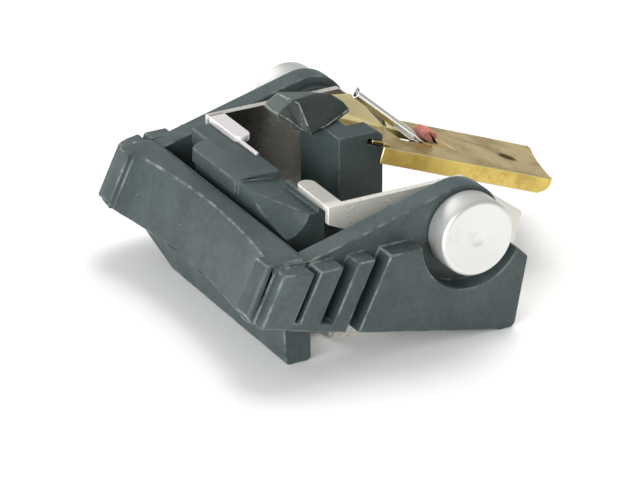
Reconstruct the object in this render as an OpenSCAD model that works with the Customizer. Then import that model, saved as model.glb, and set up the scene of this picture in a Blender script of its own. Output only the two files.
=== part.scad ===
// Turntable stylus assembly with a swing-down guard, lying with its record side up.
// X runs across the stylus, Y runs from the finger grip (-) to the brass shank (+),
// Z is up from the table. All lengths are in millimetres and all angles in degrees.

/* [Placement] */
// Height of the guard pivot above the table
pivot_z = 4.68; // [4.5:0.02:4.9]

/* [Guard arms] */
// Clear gap between the two guard arms
arm_gap = 12; // [11.8:0.1:12.6]
// Thickness of each guard arm
arm_t = 1.03; // [0.9:0.01:1.2]
// Thickness of the raised pad and of the ribs on the outside of each arm
pad_t = 0.96; // [0.7:0.01:1.1]
// Radius of the arm's round end about the pivot
arm_end_r = 1.85; // [1.75:0.01:2]
// Radius of the round recess that the pad leaves for the pivot cap
recess_r = 2.38; // [2.2:0.02:2.5]
// Height of the flat tops of the pads and ribs
pad_top_z = 4.63; // [4.5:0.01:4.75]
// Distance of the lowest rear corner of the arm behind the pivot
toe_back = 2.1; // [1.8:0.05:2.3]
// Distance of the rearmost corner of the arm behind the pivot
heel_back = 2.66; // [2.5:0.02:2.9]
// Height of the rearmost corner of the arm
heel_z = 3.12; // [2.9:0.02:3.3]
// Bevel at the upper and lower rear corners of the arm
heel_bevel = 0.35; // [0.2:0.05:0.5]

/* [Finger grip] */
// Distance of the grip's lower front edge ahead of the pivot
reach = 10.09; // [9.9:0.01:10.3]
// Half the width of the grip at its two end lips
grip_half = 6.8; // [6.7:0.02:6.95]
// Thickness of the grip, front to back
grip_t = 1.67; // [1.4:0.01:1.8]
// Height of the underside of the grip
grip_z = 2.38; // [2.3:0.02:2.5]
// Height of the top of the grip
grip_top_z = 4.8; // [4.7:0.02:4.9]
// Backward lean of the grip, the ribs and the grooves
lean = 25.5; // [23:0.5:28]
// Width of each raised lip at the ends of the grip
lip_w = 1.02; // [0.8:0.02:1.3]
// Depth of the step beside each lip
lip_step = 0.3; // [0.2:0.02:0.4]
// Hollow in the middle of the grip's face, below the step
hollow = 0.47; // [0.3:0.01:0.6]
// Bevel along the grip's lower front edge
grip_bevel = 0.4; // [0.2:0.05:0.5]
// Radius of the rounded outer edge of each lip
lip_r = 0.25; // [0.15:0.05:0.3]

/* [Foot bar] */
// Half the length of the foot bar under the grip
foot_half = 6.6; // [6.4:0.05:6.9]
// Thickness of the foot bar, front to back
foot_t = 1.19; // [1:0.01:1.3]
// Distance of the foot bar's rear face ahead of the pivot
foot_ahead = 6.82; // [6.75:0.01:6.95]
// Distance from the middle where the foot bar's underside starts to rise to its far end
foot_flat = 3.3; // [3:0.1:4]
// Rise of the foot bar's underside at its far end
foot_rise = 1.1; // [0.8:0.05:1.2]
// Bevel on the foot bar's lower edges
foot_bevel = 0.14; // [0.1:0.01:0.2]

/* [Ribs] */
// Distance of the first groove behind the grip's face
groove_start = 1.65; // [1.5:0.05:1.8]
// Width of the first, narrow groove
groove_w1 = 0.28; // [0.2:0.02:0.4]
// Width of the second and third grooves
groove_w2 = 0.68; // [0.5:0.02:0.8]
// Width of the second rib
rib_w2 = 1.05; // [0.9:0.05:1.15]
// Width of the third rib
rib_w3 = 0.8; // [0.7:0.05:0.9]
// Height of the web that closes the lower end of the first two grooves
web_h = 0.35; // [0.2:0.05:0.5]

/* [Pivots] */
// Radius of the pivot pin's turned cap
cap_r = 1.68; // [1.5:0.02:1.8]
// Height of the cap over the arm
cap_h = 1.31; // [1.1:0.01:1.5]
// Radius of the pin's shank in the arm
shank_r = 0.8; // [0.6:0.02:1]
// Running clearance between the shank and the arm's bore
run_clear = 0.04; // [0.02:0.01:0.08]
// Side clearance of the arm between the cap and the washer
side_clear = 0.05; // [0.03:0.01:0.1]
// Radius of the pin's riveted end
rivet_r = 0.5; // [0.4:0.02:0.55]
// Outer radius of the friction washer
washer_r = 1.5; // [1.3:0.05:1.6]

/* [Bracket] */
// Thickness of the bracket's folded sheet
sheet_t = 0.3; // [0.25:0.01:0.35]
// Outer width of the bracket across its side plates
bracket_w = 10.92; // [10.7:0.02:11]
// Distance of the side plates' front edge ahead of the pivot
bracket_ahead = 5.4; // [5.3:0.05:5.45]
// Distance of the side plates' rear corner behind the pivot
bracket_back = 3.9; // [3.6:0.05:4]
// Height of the side plates' rear corner
bracket_rear_z = 3.84; // [3.6:0.04:4]
// Length of each lug folded in over the crossbar
lug_len = 2.9; // [2.5:0.05:3.1]
// Width of each lug
lug_w = 0.78; // [0.7:0.02:0.84]

/* [Crossbar] */
// Clearance between the crossbar's front and the swinging guard's inner radius
swing_clear = 0.3; // [0.25:0.01:0.35]
// Height of the crossbar's main top face
bar_top_z = 5.5; // [5.4:0.02:5.6]
// Distance of the crossbar's near end from the middle
bar_near = 4.5; // [4.2:0.05:4.8]
// Distance from the middle to the near end of the raised step
step_near = 0.72; // [0.5:0.02:1]
// Distance from the middle to the set-back corner of the raised step
step_far = 3.3; // [3.1:0.05:3.6]
// Rise of the step over the main top face
step_h = 0.3; // [0.2:0.02:0.35]

/* [Centre block] */
// Width of the centre block
block_w = 3.4; // [3.2:0.05:3.6]
// Length of the centre block, front to back
block_l = 2.11; // [1.9:0.01:2.3]
// Distance of the block's rear face ahead of the pivot
block_ahead = 0.7; // [0.6:0.02:0.8]
// Height of the centre block's top
block_top_z = 7.12; // [7:0.02:7.2]
// Chamfer on the block's top rear edge
block_chamfer = 0.22; // [0.1:0.02:0.3]

// Distance from the middle of the block's open far part, where the brass lies bare
block_open = 0.55; // [0.4:0.05:0.7]

/* [Saddle] */
// Thickness of the saddle's folded sheet
saddle_t = 0.14; // [0.1:0.02:0.2]
// Overhang of the saddle's wing past the block's far side
wing_out = 1.5; // [1.3:0.05:1.7]
// Overhang of the saddle's nose ahead of the block
nose_out = 0.8; // [0.7:0.05:1]
// Height of the saddle's upper ridge over the block
ridge_h = 0.46; // [0.4:0.02:0.5]

/* [Brass shank] */
// Width of the brass channel
shank_w = 4.88; // [4.6:0.02:5]
// Thickness of the brass sheet
shank_t = 0.2; // [0.15:0.01:0.25]
// Depth of the channel's side flanges
flange_h = 0.76; // [0.65:0.01:0.85]
// Downward slope of the channel towards the rear
shank_slope = 21.6; // [20.5:0.1:22.5]
// Length of the channel along its slope, at its middle
shank_len = 8.75; // [8.4:0.05:9]
// Height of the channel's front edge
shank_z = 6.32; // [6.25:0.01:6.4]
// Gap between the block's rear face and the channel's shoulders
shank_gap = 0.61; // [0.5:0.01:0.7]
// Width of the slot in the channel's front end
slot_w = 1.5; // [1.45:0.01:1.6]
// Length of the slot behind the channel's shoulders
slot_len = 3.75; // [3.7:0.05:3.8]
// Length of the tongues that enter the block
tongue_len = 0.55; // [0.4:0.05:0.7]
// Length of the far tongue, which lies bare in the block's open part
far_tongue_len = 1.3; // [1.1:0.05:1.4]
// Length of the torn flap at the far side of the slot
flap_len = 3.7; // [3.4:0.1:3.8]
// Angle by which the torn flap is bent up
flap_bend = 45; // [40:1:50]
// Clearance of the tongues in their pockets
tongue_clear = 0.02; // [0.01:0.01:0.04]
// Radius of the locating dimple
dimple_r = 0.38; // [0.3:0.02:0.45]

/* [Cantilever] */
// Distance of the damper's centre behind the pivot
damper_back = 2.24; // [2.1:0.02:2.3]
// Height of the damper's centre
damper_z = 5.2; // [5.16:0.01:5.24]
// Rise of the cantilever over the table
rise = 42; // [40:0.5:43]
// Length of the cantilever ahead of the damper's centre
cant_len = 4.45; // [4.3:0.05:4.5]
// Outer radius of the cantilever tube
cant_r = 0.19; // [0.16:0.01:0.22]
// Radius of the cantilever's thin rear end
cant_rear_r = 0.12; // [0.1:0.01:0.14]
// Wall thickness of the cantilever tube
cant_wall = 0.05; // [0.04:0.01:0.06]
// Height of the bush's top over the cantilever's axis
tip_h = 0.24; // [0.22:0.02:0.34]
// Height of the diamond tip over its bush
diamond_h = 0.14; // [0.1:0.01:0.18]
// Radius of the bush that holds the stylus tip
tip_r = 0.09; // [0.07:0.01:0.11]

/* [Suspension] */
// Clearance of the cantilever's thin end in the damper's bore, for its sway
damper_clear = 0.08; // [0.07:0.01:0.1]
// Rise of the damper over the brass sheet
damper_rise = 0.45; // [0.35:0.05:0.5]
// Distance of the magnet's front end behind the damper's centre
magnet_start = 1.55; // [1.5:0.05:1.6]
// Length of the magnet
magnet_len = 0.6; // [0.5:0.05:0.65]
// Radius of the magnet at the cantilever's rear end
magnet_r = 0.26; // [0.2:0.01:0.27]
// Gap between the magnet and the tie block
tie_gap = 0.16; // [0.14:0.01:0.2]
// Length of the tie block under the sheet
tie_len = 0.5; // [0.4:0.05:0.6]
// Half the width of the tie block
tie_half = 0.35; // [0.3:0.05:0.4]
// Radius of the collet in the tie block
collet_r = 0.15; // [0.12:0.01:0.17]
// Radius of the tie wire
wire_r = 0.05; // [0.04:0.01:0.06]

/* [Hidden] */
$fn = 48;
arm_in = arm_gap / 2;
arm_out = arm_in + arm_t;
pad_out = arm_out + pad_t;
bracket_out = bracket_w / 2;
bracket_in = bracket_out - sheet_t;
// The origin lies midway between the grip's front and the shank's far rear corner
grip_front = -reach + grip_bevel * tan(lean);
shank_rear = shank_gap - block_ahead + rear_end(-shank_w / 2) * cos(shank_slope);
pivot_y = -(grip_front + shank_rear) / 2;
bracket_top_z = bar_top_z + step_h + sheet_t;
front_y = pivot_y - reach;
toe_y = pivot_y + toe_back;
heel_y = pivot_y + heel_back;
foot_rear_y = pivot_y - foot_ahead;
foot_front_y = foot_rear_y - foot_t;
block_rear_y = pivot_y - block_ahead;
block_front_y = block_rear_y - block_l;
shoulder_y = block_rear_y + shank_gap;
damper_y = pivot_y + damper_back;
bracket_front_y = pivot_y - bracket_ahead;
bracket_rear_y = pivot_y + bracket_back;
// Nearest approach of the grip's inner face to the pivot: a point's distance from a line
inner_low = [-foot_ahead, grip_z - pivot_z];
inner_high = [face_y(grip_top_z) + grip_t - pivot_y, grip_top_z - pivot_z];
inner_run = inner_high - inner_low;
guard_inner_r = abs(inner_low[0] * inner_run[1] - inner_low[1] * inner_run[0]) / norm(inner_run);
bar_r = guard_inner_r - swing_clear;
bar_rear_y = bracket_front_y + 0.35;
bar_far = bracket_in - 0.06;
// Height over the damper of the cantilever's line, in the frame of the channel
cross = rise - shank_slope;
damper_l = (damper_y - shoulder_y) * cos(shank_slope) + (shank_z - damper_z) * sin(shank_slope);
damper_n = (damper_y - shoulder_y) * sin(shank_slope) - (shank_z - damper_z) * cos(shank_slope);
magnet_end = magnet_start + magnet_len;
tie_front = damper_l + magnet_end * cos(cross) + magnet_r * sin(cross) + tie_gap;
tie_low = damper_n - (tie_front + tie_len - damper_l) * tan(cross) - collet_r - 0.06;
slack = 0.02;
over = 1;

// Y of the grip's leaning front face at height z
function face_y(z) = front_y + (z - grip_z) * tan(lean);
// Slope of the arm's straight underside, from the grip down to the toe
under_slope = (grip_z - 0) / (toe_y - 0.7 - (front_y + 1.3));
// Height of the arm's underside at y
function under_z(y) = max(0, (toe_y - 0.7 - y) * under_slope);
// Angle of the arm's top edge, which runs tangent to its round end
top_start = [front_y + 2.94, grip_top_z - 0.09];
top_run = pivot_y - top_start[0];
top_angle = atan2(pivot_z - top_start[1], top_run) + asin(arm_end_r / top_run);

// Extrudes a Y-Z profile along X from x0 to x1
module along_x(x0, x1) {
    translate([x0, 0, 0]) rotate([90, 0, 90]) linear_extrude(x1 - x0) children();
}

// Places children on the near side and mirrored on the far side
module both_sides() {
    for (side = [0, 1]) mirror([side, 0, 0]) children();
}

// Turns a profile about the pivot axis, its length pointing to the near side
module about_pivot() {
    translate([0, pivot_y, pivot_z]) rotate([0, 90, 0]) children();
}

// Frame of the cantilever: origin at the damper's centre, Z along the cantilever to the tip
module cantilever_frame() {
    translate([0, damper_y, damper_z]) rotate([90 - rise, 0, 0]) children();
}

// Frame of the brass channel: origin mid-front of its top face, Y down the slope
module shank_frame() {
    translate([0, shoulder_y, shank_z]) rotate([-shank_slope, 0, 0]) children();
}

// Leaning prism of a plan outline whose Y is the distance behind the grip's face
module leaning_plan() {
    translate([0, front_y, grip_z]) rotate([-lean, 0, 0]) translate([0, 0, -3 * over])
        linear_extrude(8 * over) children();
}

// Side outline of the guard arm, from inside the grip to the heel
module arm_outline() {
    polygon([[front_y + 1.2, under_z(front_y + 1.2)],
        [face_y(grip_top_z) + grip_t / 2, grip_top_z],
        top_start,
        [pivot_y - arm_end_r * sin(top_angle), pivot_z + arm_end_r * cos(top_angle)],
        [pivot_y, pivot_z],
        [heel_y - 2 * heel_bevel, heel_z + 2 * heel_bevel],
        [heel_y, heel_z],
        [toe_y, heel_bevel / 2],
        [toe_y - heel_bevel / 2, 0],
        [toe_y - 0.7, 0]]);
    translate([pivot_y, pivot_z]) circle(arm_end_r);
}

// Side outline of the raised pad, open in a round recess about the pivot
module pad_outline() {
    pad_start = groove_start + groove_w1 + rib_w2 + groove_w2 + rib_w3 + groove_w2;
    low = under_z(face_y(grip_z) + pad_start);
    difference() {
        polygon([[face_y(low) + pad_start, low],
            [face_y(pad_top_z) + pad_start, pad_top_z],
            [pivot_y, pad_top_z],
            [heel_y - 2 * heel_bevel, heel_z + 2 * heel_bevel],
            [heel_y, heel_z],
            [toe_y, heel_bevel / 2],
            [toe_y - heel_bevel / 2, 0],
            [toe_y - 0.7, 0]]);
        translate([pivot_y, pivot_z]) circle(recess_r);
    }
}

// One leaning rib between two distances behind the grip's face
module rib_outline(from, to) {
    low = under_z(face_y(grip_z) + from);
    low_rear = under_z(face_y(grip_z) + to);
    polygon([[face_y(low) + from, low],
        [face_y(pad_top_z) + from, pad_top_z],
        [face_y(pad_top_z) + to, pad_top_z],
        [face_y(low_rear) + to, low_rear]]);
}

// Web that joins the first three ribs under the ends of the grooves
module rib_web() {
    from = groove_start - slack;
    to = groove_start + groove_w1 + rib_w2 + groove_w2 + slack;
    low = under_z(face_y(grip_z) + from);
    low_rear = under_z(face_y(grip_z) + to);
    polygon([[face_y(low) + from, low],
        [face_y(low + web_h) + from, low + web_h],
        [face_y(low_rear + web_h) + to, low_rear + web_h],
        [face_y(low_rear) + to, low_rear]]);
}

// Plan of the grip: a bar with rounded lips at its ends and a hollow face between them
module grip_plan() {
    depth = grip_t * cos(lean);
    clear_half = grip_half - lip_w;
    bow_r = (clear_half * clear_half + hollow * hollow) / (2 * hollow);
    difference() {
        union() {
            translate([-grip_half, lip_r]) square([2 * grip_half, depth - lip_r]);
            translate([-(grip_half - lip_r), 0]) square([2 * (grip_half - lip_r), depth]);
            for (x = [-1, 1]) translate([x * (grip_half - lip_r), lip_r]) circle(lip_r);
        }
        translate([-clear_half, -over]) square([2 * clear_half, over + lip_step]);
        intersection() {
            translate([-clear_half, -over]) square([2 * clear_half, 3 * over]);
            translate([0, lip_step + hollow - bow_r]) circle(bow_r, $fn = 180);
        }
    }
}

// Plan of the first rib, which flares out from the grip's lip to the pad's face
module flare_plan() {
    wide = pad_out - grip_half;
    k = cos(lean);
    polygon([[arm_in, lip_r * k],
        [grip_half - slack, 2 * lip_r * k],
        [grip_half + wide * 0.15, 2 * lip_r * k],
        [grip_half + wide * 0.35, 0.42 * k],
        [grip_half + wide * 0.6, 0.47 * k],
        [grip_half + wide * 0.82, 0.95 * k],
        [pad_out, groove_start * k],
        [arm_in, groove_start * k]]);
}

// Grip, flares and foot bar: everything that crosses between the arms
module grip() {
    intersection() {
        leaning_plan() grip_plan();
        along_x(-arm_gap, arm_gap) polygon([
            [face_y(grip_z + grip_bevel) - over, grip_z + grip_bevel],
            [face_y(grip_z + grip_bevel), grip_z + grip_bevel],
            [face_y(grip_z) + grip_bevel, grip_z],
            [toe_y, grip_z],
            [toe_y, grip_top_z],
            [face_y(grip_z + grip_bevel) - over, grip_top_z]]);
    }
    both_sides() intersection() {
        leaning_plan() flare_plan();
        along_x(0, arm_gap) polygon([
            [front_y - over, grip_z],
            [front_y + 1.2, under_z(front_y + 1.2)],
            [toe_y, under_z(toe_y)],
            [toe_y, pad_top_z],
            [front_y - over, pad_top_z]]);
    }
    difference() {
        foot_bar();
        translate([0, foot_rear_y + over, 0]) rotate([90, 0, 0]) linear_extrude(foot_t + 2 * over)
            polygon([[-foot_flat, -over], [-foot_flat, 0], [-foot_half - slack, foot_rise],
                [-foot_half - slack, -over]]);
    }
}

// Foot bar under the grip, before its far end is cut to a slope
module foot_bar() {
    along_x(-foot_half, foot_half) polygon([
        [foot_front_y, foot_bevel],
        [foot_front_y + foot_bevel, 0],
        [foot_rear_y - foot_bevel, 0],
        [foot_rear_y, foot_bevel],
        [foot_rear_y, grip_z],
        [face_y(grip_top_z) + grip_t - slack, grip_top_z - slack],
        [face_y(grip_z) + grip_t / 2, grip_z + slack],
        [foot_front_y - 0.1, grip_z - 0.4]]);
}

// Swing-down guard: one moulding with a hollow finger grip, ribbed arms and two pivot bores
module guard() {
    rib2 = groove_start + groove_w1;
    rib3 = rib2 + rib_w2 + groove_w2;
    color([0.2, 0.22, 0.23]) difference() {
        union() {
            grip();
            both_sides() {
                along_x(arm_in, arm_out) arm_outline();
                along_x(arm_out - slack, pad_out) {
                    pad_outline();
                    rib_outline(rib2, rib2 + rib_w2);
                    rib_outline(rib3, rib3 + rib_w3);
                    rib_web();
                }
            }
        }
        translate([-arm_gap, pivot_y, pivot_z]) rotate([0, 90, 0])
            cylinder(r = shank_r + run_clear, h = 2 * arm_gap);
    }
}

// Turned pivot pin: domed-edge cap, shank through the arm, riveted end in the bracket
module pivot_pin() {
    seat = arm_out + side_clear;
    face = seat + cap_h;
    edge = 0.12;
    color([0.9, 0.9, 0.88]) about_pivot() rotate_extrude($fn = 96) polygon([
        [0, bracket_in - 0.2],
        [rivet_r + 0.2, bracket_in - 0.2],
        [rivet_r + 0.2, bracket_in],
        [rivet_r, bracket_in],
        [rivet_r, bracket_out],
        [shank_r, bracket_out],
        [shank_r, seat],
        [cap_r - edge, seat],
        [cap_r, seat + edge],
        [cap_r, face - edge],
        [cap_r - edge, face],
        [0.3, face],
        [0.22, face - 0.06],
        [0, face - 0.06]]);
}

// Friction washer between the bracket and the arm
module washer() {
    color([0.75, 0.72, 0.62]) about_pivot() translate([0, 0, bracket_out]) difference() {
        cylinder(r = washer_r, h = arm_in - side_clear - bracket_out);
        translate([0, 0, -over]) cylinder(r = shank_r + slack, h = 3 * over);
    }
}

// Side outline of the bracket's plates: a narrow strip in front, deep at the pivot
module bracket_outline() {
    polygon([[bracket_front_y, bracket_top_z],
        [pivot_y + 1, bracket_top_z],
        [pivot_y + 1.62, bracket_top_z - 0.52],
        [bracket_rear_y, bracket_rear_z],
        [bracket_rear_y - 0.35, bracket_rear_z - 1.3],
        [pivot_y + 1.6, 0],
        [bracket_front_y + 0.2, 0],
        [bracket_front_y + 0.9, 1.5],
        [bracket_front_y + 0.9, bracket_top_z - 1.2],
        [bracket_front_y, bracket_top_z - 0.8]]);
}

// Folded sheet bracket: two side plates, a floor under the block and two lugs over the bar
module bracket() {
    color([0.8, 0.79, 0.77]) {
        difference() {
            both_sides() along_x(bracket_in, bracket_out) bracket_outline();
            about_pivot() translate([0, 0, -arm_gap]) cylinder(r = rivet_r, h = 2 * arm_gap);
        }
        translate([-bracket_in - slack, bracket_front_y + 0.2, 0])
            cube([2 * (bracket_in + slack), block_rear_y - bracket_front_y - 0.2, sheet_t]);
        both_sides() translate([0, bracket_front_y, bracket_top_z - sheet_t]) {
            translate([bracket_out - lug_len + lug_w / 2, 0, 0])
                cube([lug_len - lug_w / 2, lug_w, sheet_t]);
            translate([bracket_out - lug_len + lug_w / 2, lug_w / 2, 0])
                cylinder(d = lug_w, h = sheet_t);
        }
        translate([lug_len - bracket_out - lug_w / 2, bracket_front_y + 0.12, bracket_top_z - sheet_t])
            cube([lug_len * 0.65, 0.16, sheet_t / 2]);
    }
}

// Side outline of the raised step: flat under the lugs, then falling to its front
module step_outline() {
    top = bar_top_z + step_h;
    polygon([[bar_rear_y, bar_top_z - step_h],
        [bar_rear_y, top],
        [bracket_front_y - 0.75, top],
        [pivot_y - bar_r - 0.15, bar_top_z],
        [pivot_y - bar_r - 0.15, bar_top_z - 2 * step_h]]);
}

// Plan of the raised step, with a round lobe at its set-back corner
module step_plan() {
    polygon([[-bar_far, bar_rear_y],
        [step_near, bar_rear_y],
        [step_near, bracket_front_y],
        [step_near - 0.8, pivot_y - bar_r - over],
        [-step_far, pivot_y - bar_r - over],
        [-step_far - 0.5, bracket_front_y - 0.85],
        [-bar_far, bracket_front_y - 0.85]]);
    translate([-step_far - 0.15, bracket_front_y - 1.2]) circle(0.42);
}

// Crossbar: its front follows the guard's swing, a raised step carries the lugs
module crossbar() {
    color([0.17, 0.19, 0.2]) {
        difference() {
            intersection() {
                translate([-bar_far, pivot_y - bar_r - over, sheet_t])
                    cube([bar_far + bar_near, bar_rear_y - pivot_y + bar_r + over, bar_top_z - sheet_t]);
                about_pivot() translate([0, 0, -arm_gap])
                    cylinder(r = bar_r, h = 2 * arm_gap, $fn = 180);
            }
            intersection() {
                translate([bar_near, bracket_front_y - 1.65, bar_top_z + 0.3]) rotate([0, 0, 18])
                    rotate([0, 90, 0]) cylinder(r = 1.25, h = 5 * bar_near, center = true);
                translate([step_near - 0.6, -arm_gap, 0]) cube(2 * arm_gap);
            }
            translate([-bar_far - over, pivot_y - bar_r - over, 2.6])
                cube([bar_far - step_far - 0.45 + over, 1 + over, 6]);
        }
        intersection() {
            along_x(-bar_far, step_near) step_outline();
            linear_extrude(2 * bar_top_z) step_plan();
            about_pivot() translate([0, 0, -arm_gap])
                cylinder(r = bar_r + swing_clear / 2, h = 2 * arm_gap, $fn = 180);
        }
        translate([step_near + 0.9, bracket_front_y + 0.05, bar_top_z - slack])
            cube([bar_near - step_near - 0.9, bar_rear_y - bracket_front_y - 0.05, step_h + slack]);
    }
}

// Centre block: a post on the bracket's floor that grips the channel's two tongues
module centre_block() {
    half = block_w / 2;
    c = block_chamfer;
    color([0.2, 0.22, 0.23]) difference() {
        intersection() {
            translate([-half, block_front_y, sheet_t])
                cube([block_w, block_l, block_top_z - sheet_t]);
            along_x(-half, half) polygon([
                [block_front_y, 0],
                [block_front_y, block_top_z],
                [block_rear_y - 1.5 * c, block_top_z],
                [block_rear_y, block_top_z - c],
                [block_rear_y, 0]]);
        }
        shank_frame() {
            translate([slot_w / 2 - tongue_clear, -shank_gap - tongue_len - over / 4,
                -shank_t - tongue_clear])
                cube([half, shank_gap + tongue_len + over / 4, shank_t + 2 * tongue_clear]);
            translate([-2 * half, -shank_gap - far_tongue_len - tongue_clear, -shank_t - tongue_clear])
                cube([2 * half + block_open, shank_gap + far_tongue_len + over, 3 * over]);
        }
    }
}

// One folded face of the saddle between corners given from the block's far front top corner
module fold(corners) {
    translate([-block_w / 2, block_front_y, block_top_z]) hull() for (p = corners)
        translate(p) cube(saddle_t, center = true);
}

// Saddle: a folded cover over the block's front, with a wing on the far side and a nose in front
module saddle() {
    crown = [-0.4, -nose_out / 2, ridge_h - 0.18];
    peak = [-wing_out + 0.35, -0.38, ridge_h - 0.05];
    chin = [1.15, -nose_out, -0.2];
    brow = [0.1, -0.09, ridge_h - 0.08];
    horn = [0.8, block_l * 0.72, ridge_h - 0.08];
    cheek = [2.05, 0.06, 0.05];
    color([0.13, 0.15, 0.15]) difference() {
        union() {
            // Far facet, the wing
            fold([peak, crown, [0.55, -nose_out, -0.07], [-0.78, -nose_out - 0.1, -0.12],
                [-wing_out + 0.13, -nose_out - 0.1, -0.07]]);
            // Facet between the two worn ridges
            fold([crown, brow, [1.55, -nose_out + 0.06, -0.12], chin, [0.55, -nose_out, -0.07]]);
            // Top strip
            fold([peak, brow, horn, [0.2, block_l * 0.63, ridge_h + 0.02], [-0.46, block_l * 0.32, ridge_h + 0.02]]);
            // Large dark near facet
            fold([brow, horn, [1.14, block_l * 0.78, 0.13], [1.38, block_l * 0.33, 0.1], cheek,
                [2.2, -nose_out + 0.12, -0.02], [1.55, -nose_out + 0.06, -0.12]]);
        }
        // Seat on the block's top and front face
        translate([-block_w, block_front_y, block_top_z - over]) cube([2 * block_w, block_l + over, over]);
    }
}

// Distance along the slope of the channel's oblique rear end at x
function rear_end(x) = shank_len - 0.3955 * x + 0.0227 * x * x;

// Plan of the brass sheet: oblique rear end, front slot, tongues for the block, torn far corner
module shank_plan() {
    half = shank_w / 2;
    steps = 12;
    difference() {
        polygon(concat(
            [[-half, 1.9], [-0.9, 1.2], [-1.8, -0.5], [-1.5, -0.5], [-1.5, -0.05], [half, -0.05]],
            [for (i = [0:steps]) let (x = half - 2 * half * i / steps) [x, rear_end(x)]]));
        translate([-slot_w / 2, 0.9]) square([slot_w, slot_len - 0.9]);
    }
    translate([slot_w / 2, 0.05 - shank_gap]) square([half - slot_w / 2, shank_gap]);
    translate([slot_w / 2, -shank_gap - tongue_len])
        square([block_w / 2 - slot_w / 2 - 0.02, shank_gap + tongue_len + slack]);
    translate([-1.62, -shank_gap - far_tongue_len]) square([1.9, shank_gap + far_tongue_len]);
}

// Brass shank: a folded channel that slides into the cartridge body, its far front corner torn up
module brass_shank() {
    half = shank_w / 2;
    color([0.8, 0.68, 0.36]) shank_frame() {
        difference() {
            translate([0, 0, -shank_t]) linear_extrude(shank_t) shank_plan();
            translate([0.25, 6.86, -0.08]) cylinder(r = dimple_r, h = over);
        }
        for (side = [-1, 1]) {
            x0 = side > 0 ? half - shank_t : -half;
            start = side > 0 ? -1.02 : 1.95;
            stop = rear_end(side * half);
            translate([x0, 0, 0]) rotate([90, 0, 90]) linear_extrude(shank_t) polygon([
                [start, -slack],
                [start + 0.05, -flange_h],
                [stop - 0.5, -flange_h],
                [stop - 0.12, -flange_h + 0.2],
                [stop, -0.35],
                [stop, -slack]]);
        }
        translate([-slot_w / 2 - 0.06, 1.1, 0.01 - shank_t]) rotate([0, 0, -117.7])
            rotate([-flap_bend, 0, 0]) linear_extrude(shank_t)
                polygon([[0, 0], [2, 0], [flap_len, -0.37], [1.9, -1.18], [1.33, -0.92]]);
    }
}

// Rubber damper: a moulded block in the channel's slot, bored along the cantilever's line
module rubber_damper() {
    color([0.72, 0.4, 0.36]) difference() {
        shank_frame() along_x(-slot_w / 2, slot_w / 2) polygon([
            [slot_len - 1.4, -0.45],
            [slot_len - 1.4, damper_rise - 0.2],
            [slot_len - 1.2, damper_rise],
            [slot_len - 0.85, damper_rise - 0.03],
            [slot_len, 0.02],
            [slot_len, -0.45]]);
        cantilever_frame() translate([0, 0, -3 * over])
            cylinder(r = cant_rear_r + damper_clear, h = 6 * over);
    }
}

// Tie block: hangs under the brass sheet behind the magnet
module tie_block() {
    color([0.78, 0.76, 0.7]) difference() {
        shank_frame() translate([-tie_half, tie_front, tie_low])
            cube([2 * tie_half, tie_len, -shank_t - tie_low]);
        cantilever_frame() translate([0, 0, -magnet_end - 3 * over]) cylinder(r = collet_r, h = 3 * over);
    }
}

// Collet in the tie block that grips the tie wire, cut flush with the block
module wire_collet() {
    color([0.8, 0.68, 0.36]) difference() {
        intersection() {
            cantilever_frame() translate([0, 0, -magnet_end - 3 * over]) cylinder(r = collet_r, h = 3 * over);
            shank_frame() translate([-tie_half, tie_front, tie_low]) cube([2 * tie_half, tie_len, over]);
        }
        cantilever_frame() translate([0, 0, -magnet_end - 3 * over]) cylinder(r = wire_r, h = 3 * over);
    }
}

// Tie wire from the collet to just short of the magnet
module tie_wire() {
    high = -magnet_end - 0.04;
    low = -(tie_front + tie_len - damper_l) / cos(cross);
    color([0.75, 0.75, 0.75]) cantilever_frame()
        translate([0, 0, low]) cylinder(r = wire_r, h = high - low);
}

// Magnet on the cantilever's rear end, free under the brass sheet
module magnet() {
    color([0.45, 0.45, 0.47]) cantilever_frame()
        translate([0, 0, -magnet_end]) cylinder(r = magnet_r, h = magnet_len);
}

// Cantilever: a thin tube, swaged down where it passes the damper
module cantilever() {
    color([0.85, 0.85, 0.84]) difference() {
        cantilever_frame() rotate_extrude() polygon([
            [0, -magnet_start],
            [cant_rear_r, -magnet_start],
            [cant_rear_r, 0.5],
            [cant_r, 0.75],
            [cant_r, cant_len],
            [cant_r - cant_wall, cant_len],
            [cant_r - cant_wall, 1],
            [0, 1]]);
        tip_frame() cylinder(r = tip_r + 0.01, h = over);
    }
}

// Frame of the stylus tip: on the cantilever's axis near its end, upright
module tip_frame() {
    along = cant_len - 0.12;
    translate([0, damper_y - along * cos(rise), damper_z + along * sin(rise)]) children();
}

// Bush that carries the diamond, set through the upper wall of the tube
module tip_bush() {
    color([0.7, 0.7, 0.72]) tip_frame() translate([0, 0, -0.07])
        cylinder(r = tip_r, h = tip_h + 0.07);
}

// Conical diamond tip that tracks the groove
module diamond_tip() {
    color([0.75, 0.8, 0.82]) tip_frame() translate([0, 0, tip_h])
        cylinder(r1 = tip_r, r2 = 0.02, h = diamond_h);
}

guard();
pivot_pin();  // pivot_pin_near
mirror([1, 0, 0]) pivot_pin();  // pivot_pin_far
washer();  // washer_near
mirror([1, 0, 0]) washer();  // washer_far
bracket();
crossbar();
centre_block();
saddle();
brass_shank();
rubber_damper();
tie_block();
wire_collet();
tie_wire();
magnet();
cantilever();
tip_bush();
diamond_tip();
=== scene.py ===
import logging
import math
from dataclasses import dataclass
from enum import Enum
from typing import Sequence, Union

import bpy
from mathutils import Matrix, Vector
from mathutils.bvhtree import BVHTree


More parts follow.
